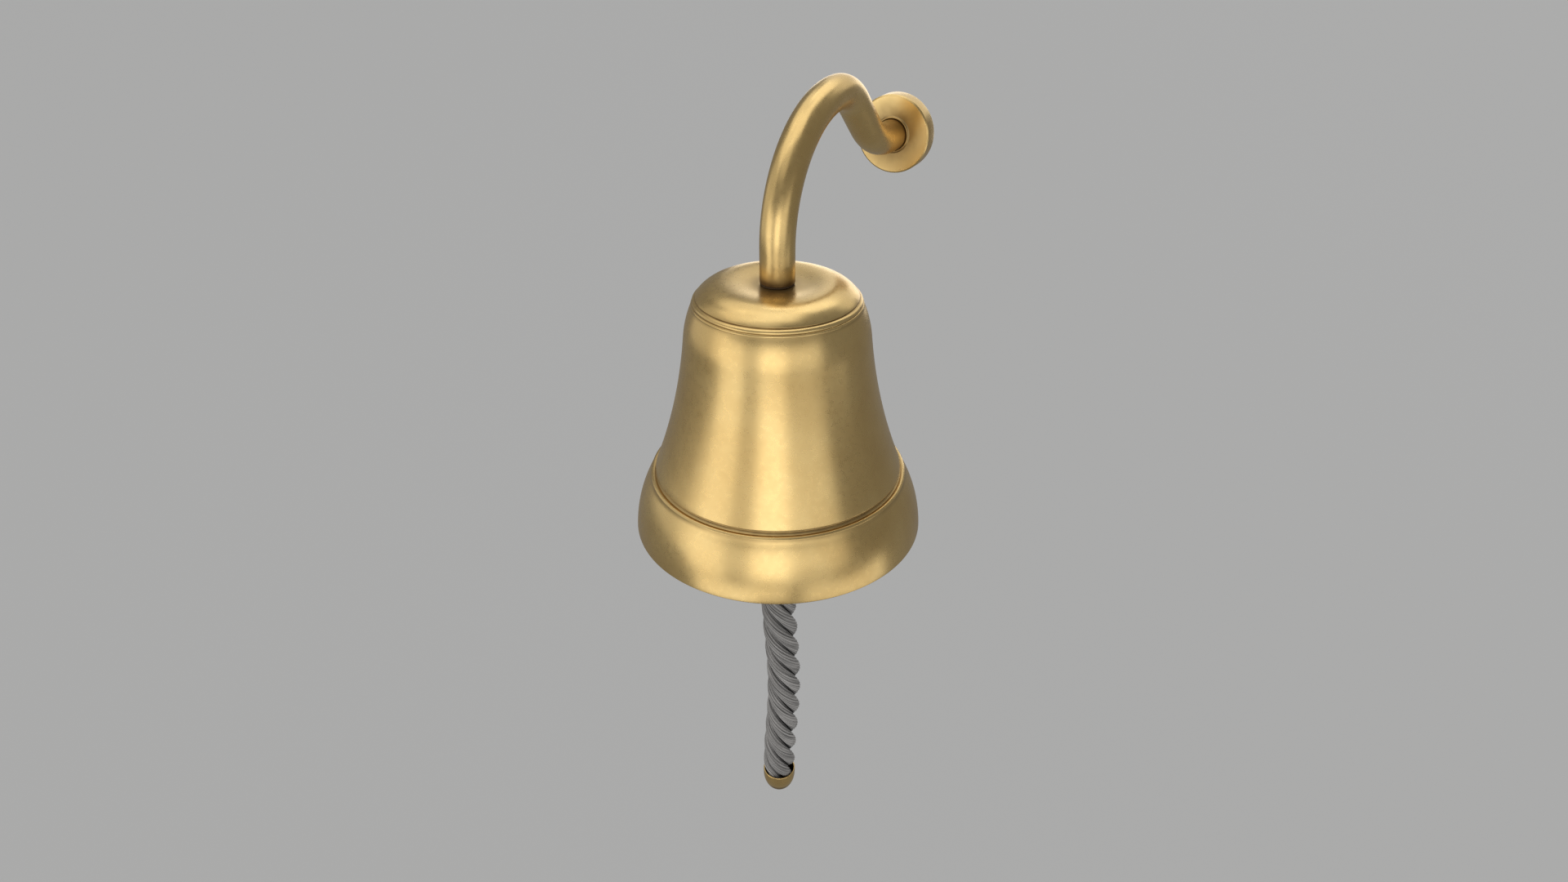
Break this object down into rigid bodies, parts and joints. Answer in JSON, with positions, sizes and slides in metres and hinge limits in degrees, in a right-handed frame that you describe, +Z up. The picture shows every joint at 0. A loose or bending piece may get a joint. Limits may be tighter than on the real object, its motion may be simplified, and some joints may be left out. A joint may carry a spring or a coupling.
{
  "type": "wall bell",
  "caption": "Cast brass bell hung from a swan-neck wall bracket, with a swinging clapper and a twisted bell rope.",
  "frame": {"origin": "centre of the wall plate's back face, on the wall plane", "axes": "+Z up, +Y into the wall, +X along the wall; the bell hangs in front of the wall, towards -Y"},
  "size_m": [0.2, 0.2891, 0.5772],
  "materials": {
    "brass": "satin, lightly aged",
    "steel": "turned, satin",
    "bronze": "turned, satin",
    "fibre": "matte",
    "rope": "twisted, matte"
  },
  "bodies": {
    "bracket": {"wall_plate": "steel", "rosette": "brass", "rosette_grub_screw": "steel", "arm_tube": "brass", "arm_grub_screw": "steel", "arm_end_plug": "brass", "crown_gasket": "fibre", "hanger_stud": "steel", "bell": "brass", "crown_washer": "steel", "lock_nut": "steel", "clapper_fork": "steel", "clapper_pin": "steel", "pin_clip": "steel"},
    "clapper": {"clapper_shaft": "steel", "clapper_bush": "bronze", "clapper_ball": "brass", "tail_eye": "brass"},
    "shackle": {"rope_shackle": "steel", "shackle_pin": "steel", "shackle_nut": "steel"},
    "bell_rope": {"rope_socket": "brass", "socket_rivet": "brass", "rope": "rope", "rope_end_cap": "brass", "end_cap_screw": "brass"}
  },
  "joints": [
    {"name": "clapper_swing", "type": "hinge", "parent": "bracket", "child": "clapper", "pos_m": [0, -0.18909, -0.0907], "axis": [0, 1, 0], "range_deg": [-28.5, 28.5]},
    {"name": "shackle_swing", "type": "hinge", "parent": "clapper", "child": "shackle", "pos_m": [0, -0.18909, -0.2644], "axis": [1, 0, 0], "range_deg": [-40, 40]},
    {"name": "rope_swing", "type": "hinge", "parent": "shackle", "child": "bell_rope", "pos_m": [0, -0.18909, -0.2739], "axis": [0, 1, 0], "range_deg": [-40, 40]}
  ]
}
